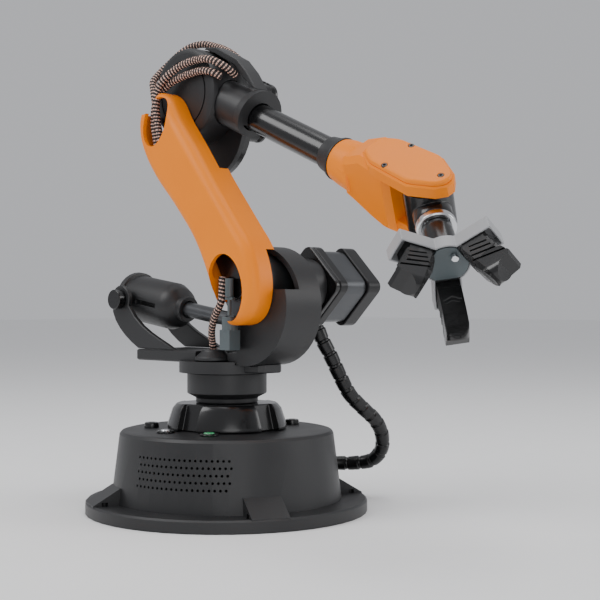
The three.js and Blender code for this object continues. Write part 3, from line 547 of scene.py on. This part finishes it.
def scattered(builders, name):
    """Many small separate shapes as one object."""
    work = bmesh.new()
    for obj in builders:
        work.from_mesh(obj.data)
        bpy.data.objects.remove(obj)
    return show(work, name)


# Base
VENT_ROWS = 5
VENT_PITCH = 3.0
VENT_ROW_PITCH = 3.8
VENT_LOW = 19.8
VENT_FROM = math.radians(-91)
VENT_TO = math.radians(-40)
VENT_RADIUS = 0.75
FLANGE_HOLES = [math.radians(a) for a in (-33, -18, 57, 72, 147, 162, 237, 252)]
FLANGE_HOLE_CIRCLE = 73
FLANGE_HOLE_RADIUS = 1.9
DOME_SCREWS = [math.radians(a) for a in (77.5, 147.5, 217.5)]
DOME_SCREW_CIRCLE = 44


def wall_radius(z):
    rise = (z - FLANGE_HEIGHT) / (BASE_TOP - FLANGE_HEIGHT)
    return WALL_FOOT_RADIUS + (WALL_TOP_RADIUS - WALL_FOOT_RADIUS) * rise


def radial(angle, z):
    """A frame whose Z points out from the axis at that angle and height."""
    return turn(angle, "Z") @ shift(0, 0, z) @ turn(math.pi / 2, "Y")


def vent_holes():
    holes = []
    for row in range(VENT_ROWS):
        z = VENT_LOW + row * VENT_ROW_PITCH
        step = VENT_PITCH / wall_radius(z)
        first = VENT_FROM + (step / 2 if row % 2 else 0)
        for i in range(int((VENT_TO - first) / step) + 1):
            holes.append(rod(VENT_RADIUS, 58, 70, radial(first + i * step, z), 10))
    return scattered(holes, "vents")


def base_shell():
    shell = softened(copy_of("base_shell"), 0.6)
    carved(shell, vent_holes())
    flange_holes = []
    for angle in FLANGE_HOLES:
        spot = turn(angle, "Z") @ shift(FLANGE_HOLE_CIRCLE, 0, 0)
        flange_holes.append(rod(FLANGE_HOLE_RADIUS, 4.2, 9, spot, 24))
    carved(shell, scattered(flange_holes, "flange_holes"))
    shell.name = "base_dome"
    shell.data.shade_smooth()
    shell.data.set_sharp_from_angle(angle=math.radians(32))
    return bake(shell, ("WEIGHTED_NORMAL", {"keep_sharp": True, "weight": 60}))


made(base_shell(), "grey_shell", "base", "base_shell")


def screw_head(radius, height, matrix, name):
    """Cap screw with a rounded rim and a round socket."""
    socket = radius * 0.5
    profile = [
        (0, 0), (radius, 0), (radius, height * 0.7), (radius * 0.92, height * 0.93),
        (radius * 0.82, height), (socket, height), (socket * 0.96, height * 0.35), (0, height * 0.3),
    ]
    return softened(lathe(profile, matrix, 36, name), 0)


for i, angle in enumerate(DOME_SCREWS):
    spot = turn(angle, "Z") @ shift(DOME_SCREW_CIRCLE, 0, BASE_TOP + 0.05)
    made(screw_head(4.2, 3, spot, f"dome_screw_{i + 1}"), "black_gloss", "base")


# Upper arm cover: a shell with soft edges and two windows
COVER_SIDE = [
    (27, 107), (41, 106.6), (49.5, 113), (53, 127), (48, 146), (35, 163), (17, 185), (1, 206), (-11, 221),
    (-20, 234), (-29, 238), (-39, 234.5), (-45, 225), (-45, 214), (-40, 202), (-30.5, 189), (-13.5, 171.5),
    (2.7, 152.5), (13.6, 133), (20, 117),
]
COVER_WALL = 2.4
COVER_EDGE = 6.5


def ellipse(x, z, half_width, half_length, degrees, count=64):
    a = math.radians(degrees)
    points = []
    for i in range(count):
        t = 2 * math.pi * i / count
        u, v = half_width * math.cos(t), half_length * math.sin(t)
        points.append((x + u * math.cos(a) - v * math.sin(a), z + u * math.sin(a) + v * math.cos(a)))
    return points


def upper_arm_cover():
    side = flat(spline(COVER_SIDE, 8, closed=True))
    outside = fillet(-COVER_NEAR, 1, COVER_EDGE, 7)
    outer = slab(side, [(-COVER_FAR, 0), *outside], SIDE, "upper_arm_cover_shell")
    inside = fillet(-COVER_NEAR, 1, COVER_EDGE - COVER_WALL, 6)
    room = [(height - COVER_WALL, inset + COVER_WALL) for height, inset in inside]
    inner = slab(side, [(-COVER_FAR - 3, COVER_WALL), *room], SIDE)
    housing_room = across(HOUSING_RADIUS + 2.5, -15.1, 20, *HOUSING, 128)
    elbow_room = across(44.5, -15.6, 20, *ELBOW, 128)
    upper_window = slab(ellipse(-28.5, 221, 9.5, 14.5, -22), [(18, 0), (32, 0)], SIDE)
    lower_window = slab(ellipse(31, 126, 13.5, 18.5, 14), [(18, 0), (32, 0)], SIDE)
    mouth_outline = rounded([(19, 98), (31, 98), (31.5, 122), (24, 132), (19.5, 122)], 2)
    mouth = slab(mouth_outline, [(-5, 0), (32, 0)], SIDE)
    sleeve_exit = slab(rounded([
        (-54, 229), (-45, 226.5), (-37, 226), (-31.5, 229.5), (-28.4, 233), (-28.4, 246), (-54, 246),
    ], 2), [(-5, 0), (32, 0)], SIDE)
    carved(outer, inner, housing_room, elbow_room, upper_window, lower_window, mouth, sleeve_exit)
    return softened(outer, 0.8, 3)


made(upper_arm_cover(), "orange_shell", "upper_arm", "upper_arm_cover")


# Wrist
def wrist_outline(grow, radius):
    half = [(-30 - grow, 6), (-20, 11.4 + grow), (7, 12.6 + grow), (20, 6.5 + grow), (23.4 + grow, 2.2)]
    mirrored = [(x, -y) for x, y in reversed(half)]
    return rounded([(x, y - 0.8) for x, y in mirrored + half], radius)


WRIST_SCREWS = [(-10.8, 8.6), (-10.6, -10.2), (17.9, -0.6)]
cover_levels = [(20.9, 0), (21.2, 0), *fillet(23, 1, 1.5, 4)]
cover = slab(wrist_outline(-0.6, 3.2), cover_levels, WRIST, "wrist_cover_plate")
for x, y in WRIST_SCREWS:
    carved(cover, rod(1.75, 22.2, 24, WRIST @ shift(x, y, 0), 32))
made(softened(cover, 0.25), "orange_shell", "wrist_roll", "wrist_cover")
for i, (x, y) in enumerate(WRIST_SCREWS):
    screw = screw_head(1.5, 0.9, WRIST @ shift(x, y, 22.1), f"wrist_screw_{i + 1}")
    made(screw, "black_gloss", "wrist_roll")


# Fingers: bellows back, hard tip and a ribbed gripping pad
FINGERS = [("finger_1", "finger_a"), ("finger_2", "finger_b"), ("finger_3", "finger_c")]
FINGER_PROFILE = [
    (15, 42.6), (11.6, 45.6), (11.6, 49), (10.4, 51.6), (11, 56), (14, 65), (19.6, 75.4),
    (22, 75.4), (25.6, 70.6), (30.4, 69.2), (31.4, 67), (28, 61.2), (25.6, 60.2), (26.8, 58.2),
    (24.2, 56.6), (25.4, 54.8), (22.9, 53.2), (24.2, 51.4), (22.4, 50), (22.4, 42.6),
]
FOLDS = [(51.2, 0.5), (54.3, 0.55), (57.6, 0.6), (60.9, 0.6)]  # height and half width of each slot
FINGER_HALF = 5.5
TIP_CENTRE = 69.9  # height of the middle of the round tip
TIP_STEPS = 24
PAD_RIDGES = 9


# An outline in Y and Z, with its depth along X
FACING = Matrix(((0, 0, 1, 0), (1, 0, 0, 0), (0, 1, 0, 0), (0, 0, 0, 1)))
TIP_PLANE = shift(16, 0, 62.4) @ turn(math.radians(22), "Y")


def bellows_body():
    """Cut in the finger's own frame and placed afterwards, so that all three are the same."""
    body = slab(FINGER_PROFILE, [(-FINGER_HALF, 0), (FINGER_HALF, 0)], SIDE, "finger_body")
    for z, thick in FOLDS:
        tilt = shift(14, 0, z) @ turn(math.radians(-14), "Y")
        carved(body, block(4.5, 22, -9, 9, -thick, thick, tilt))
        for side in (-1, 1):
            middle, half = side * 6, thick * 0.93
            carved(body, block(0.13, 8.7, middle - 1.6, middle + 1.6, -half, half, tilt))
    tip_outline = [(-FINGER_HALF, 40), (FINGER_HALF, 40), (FINGER_HALF, TIP_CENTRE)]
    for i in range(1, TIP_STEPS):
        a = math.pi * i / TIP_STEPS
        tip_outline.append((FINGER_HALF * math.cos(a), TIP_CENTRE + FINGER_HALF * math.sin(a)))
    tip_outline.append((-FINGER_HALF, TIP_CENTRE))
    carved(body, slab(tip_outline, [(0, 0), (40, 0)], FACING), operation="INTERSECT")
    tip = show(body.data.copy(), "finger_tip")
    carved(body, block(0, 40, -9, 9, 0, 30, TIP_PLANE))
    carved(tip, block(0, 40, -9, 9, -40, 0.12, TIP_PLANE))
    return softened(body, 0.45, 3, 28), softened(tip, 0.7, 3, 28)


def pad_ridges():
    ridges = []
    for i in range(PAD_RIDGES):
        t = (i + 0.5) / PAD_RIDGES
        x, z = 10.9 + t * 8.2, 56 + t * 17.2
        slope = shift(x, 0, z) @ turn(math.radians(24), "Y")
        for side in (-1, 1):
            zig = slope @ turn(side * math.radians(24), "X")
            ridges.append(block(-0.45, 0.7, min(0, side * 4.6), max(0, side * 4.6), -0.42, 0.42, zig))
    return softened(scattered(ridges, "finger_pad"), 0.2, 1)


def placed_copy(obj, matrix, name):
    """A copy of a piece made in a local frame, moved there in its mesh."""
    twin = show(obj.data.copy(), name)
    scaled = matrix.copy()
    scaled.translation = matrix.translation * MM
    twin.data.transform(scaled)
    return twin


finger_body, finger_tip = bellows_body()
finger_pad = pad_ridges()
for index, (node, body_name) in enumerate(FINGERS):
    spoke = TOOL @ turn(2 * math.pi * index / 3, "Z")
    made(placed_copy(finger_body, spoke, f"{node}_bellows"), "rubber", body_name, node)
    made(placed_copy(finger_tip, spoke, f"{node}_tip"), "black_gloss", body_name)
    made(placed_copy(finger_pad, spoke, f"{node}_pad"), "rubber", body_name)
for obj in (finger_body, finger_tip, finger_pad):
    bpy.data.objects.remove(obj)


# Gripper shell, its wiring hole, and the flange's screw holes
shell = copy_of("gripper_shell")
wiring_hole = TOOL @ turn(math.pi, "Z") @ shift(6.2, 0, 0) @ turn(math.pi / 2, "Y")
carved(shell, rod(0.9, 43, 52, wiring_hole, 24))
made(softened(shell, 0.9, 3), "light_grey", "tool", "gripper_shell")
flange = copy_of("tool_flange")
face_holes = []
for i in range(4):
    spot = TOOL @ turn(math.radians(45 + 90 * i), "Z") @ shift(7.2, 0, 0)
    face_holes.append(rod(1.15, 19.5, 23, spot, 24))
carved(flange, scattered(face_holes, "flange_holes"))
made(softened(flange, 0.25), "silver_cap", "tool", "tool_flange")


# Elbow: a ring line on the housing's near face
ELBOW_DISC = (-4.5, -4.0)


def ring_groove(radius, width, near, depth, centre, frame_matrix):
    """Turned groove cutter about a Y axis, cut into a face whose near side is at Y = near."""
    place = frame_matrix @ shift(centre[0], 0, centre[1]) @ SIDE
    return lathe([
        (radius, -near - depth), (radius + width, -near - depth), (radius + width, -near + 2),
        (radius, -near + 2), (radius, -near - depth),
    ], place, 96, "groove")


housing = copy_of("elbow_housing")
carved(housing, ring_groove(18.5, 1.0, -15, 0.8, ELBOW_DISC, FOREARM))
made(softened(housing, 0.5), "grey_shell", "forearm", "elbow_housing")


# Motor: four screws at the corners of its rear cover
for x, z in ((1, 0), (0, 1), (-1, 0), (0, -1)):
    spot = shift(SHOULDER[0] + 19.6 * x, 73.5, SHOULDER[1] + 19.6 * z) @ turn(-math.pi / 2, "X")
    made(screw_head(1.6, 1.0, spot, f"motor_screw_{2 * x + z + 3}"), "steel", "turret")


# Elbow motor cap: cuts between the cooling ribs on its four sides
CAP_MIDDLE = (-4.5, -6.0)
CAP_HALF = 18.0
CAP_RIBS = 6
cap_cuts = []
for side in range(4):
    place = FOREARM @ shift(CAP_MIDDLE[0], 0, CAP_MIDDLE[1]) @ turn(math.pi / 2 * side, "Y")
    for i in range(CAP_RIBS):
        z = (i - (CAP_RIBS - 1) / 2) * 3.4
        cap_cuts.append(block(CAP_HALF - 0.9, CAP_HALF + 2, 38.6, 41.6, z - 0.6, z + 0.6, place))
motor_cap = copy_of("elbow_motor_cap")
carved(motor_cap, scattered(cap_cuts, "cap_cuts"))
made(softened(motor_cap, 0.35), "black_gloss", "forearm", "elbow_motor_cap")


# Carried-over shapes with rounded edges: node, slot and edge radius in mm
CARRIED = {
    "base": [
        ("base_shell", "grey_shell", 0.6), ("base_plate", "steel", 0.3), ("foot_ring", "rubber", 0.3),
        ("control_board", "board_green", 0.15), ("base_motor", "motor_black", 0.5),
        ("pedestal", "black_gloss", 0.7), ("base_bearing", "steel", 0.3),
        ("power_button_bezel", "black_gloss", 0.2), ("mode_button_bezel", "black_gloss", 0.2),
        ("cable_gland", "black_gloss", 0.3), ("port_panel", "black_gloss", 0.3),
    ],
    "power_button_body": [("power_button", "lens_green", 0.4)],
    "mode_button_body": [("mode_button", "silver_cap", 0.4)],
    "turret": [
        ("column", "grey_shell", 0.5), ("turret_frame", "grey_shell", 0.7),
        ("shoulder_housing", "grey_shell", 0.7), ("shoulder_reducer", "steel", 0.3),
        ("motor_mount", "black_gloss", 0.5), ("shoulder_motor_front", "motor_black", 0.5),
        ("shoulder_motor_core", "motor_core", 0.3), ("shoulder_motor_rear", "motor_black", 0.5),
        ("balance_ear_near", "grey_shell", 0.6), ("balance_ear_far", "grey_shell", 0.6),
        ("trunnion_bolt_near", "black_gloss", 0.6), ("trunnion_bolt_far", "black_gloss", 0.6),
        ("cable_boss", "grey_shell", 0.6),
    ],
    "balance_cylinder": [("balance_barrel", "grey_shell", 0.6)],
    "balance_rod_body": [("balance_rod", "motor_core", 0.3)],
    "upper_arm": [
        ("upper_arm_cover", "orange_shell", 0.6), ("upper_arm_link", "black_gloss", 0.5),
        ("shoulder_hub", "motor_core", 0.5), ("elbow_shaft", "steel", 0.4),
        ("air_fitting", "slate_plastic", 0.3), ("valve_block", "slate_plastic", 0.4),
    ],
    "forearm": [
        ("elbow_housing", "grey_shell", 0.6), ("elbow_back", "black_gloss", 0.5),
        ("elbow_motor", "motor_black", 0.5), ("elbow_motor_cap", "black_gloss", 0.5),
        ("forearm_housing", "grey_shell", 0.5), ("forearm_motor", "motor_black", 0.3),
        ("cable_arch", "grey_shell", 0.8),
    ],
    "wrist_roll": [
        ("forearm_tube", "black_gloss", 0.3), ("wrist_collar", "grey_shell", 0.4),
        ("wrist_housing", "orange_shell", 1.8), ("wrist_cover", "orange_shell", 0.8),
        ("wrist_cap_screw", "black_gloss", 0.4),
    ],
    "wrist_pitch": [("pitch_block", "black_gloss", 0.8)],
    "tool": [
        ("tool_flange", "silver_cap", 0.3), ("gripper_adapter", "black_gloss", 0.4),
        ("gripper_shell", "light_grey", 0.9), ("gripper_plate", "slate_plastic", 0.5),
        ("air_nozzle", "silver_cap", 0.3),
    ],
    "finger_a": [("finger_1", "rubber", 0.7)],
    "finger_b": [("finger_2", "rubber", 0.7)],
    "finger_c": [("finger_3", "rubber", 0.7)],
}
for body, entries in CARRIED.items():
    for node, slot_name, bevel in entries:
        if node in MADE:
            continue
        obj = softened(copy_of(node), bevel, 3)
        obj.name = f"{node}_skin"
        dress(obj, slot_name, body, node)


# Studio
def area_light(name, place, target, size, power):
    data = bpy.data.lights.new(name, "AREA")
    data.shape = "DISK"
    data.size = size
    data.energy = power
    obj = bpy.data.objects.new(name, data)
    obj.location = place
    obj.rotation_euler = (Vector(target) - Vector(place)).to_track_quat("-Z", "Y").to_euler()
    bpy.context.scene.collection.objects.link(obj)


floor = show(ring_mesh([[Vector((x * 6, y * 6, z)) for x, y in ((-1, -1), (1, -1), (1, 1), (-1, 1))]
                        for z in (-0.03, -0.0001)]), "floor")
floor.data.materials.append(look("floor_paper", (0.93, 0.93, 0.93), 0.9, bump=0.0, mottle=0.005))
world = bpy.data.worlds.new("studio")
bpy.context.scene.world = world
world.use_nodes = True
world.node_tree.nodes["Background"].inputs["Color"].default_value = (0.95, 0.96, 1.0, 1)
world.node_tree.nodes["Background"].inputs["Strength"].default_value = 0.55
CENTRE = (0, 0, 0.14)  # where the lights point, in metres
area_light("key", (-0.35, -0.75, 0.95), CENTRE, 0.7, 6)
area_light("top", (0.15, 0.1, 1.2), CENTRE, 0.9, 5)
area_light("rim", (0.9, 0.7, 0.5), CENTRE, 0.6, 3)
area_light("front", (0.75, -0.5, 0.25), CENTRE, 0.5, 1)
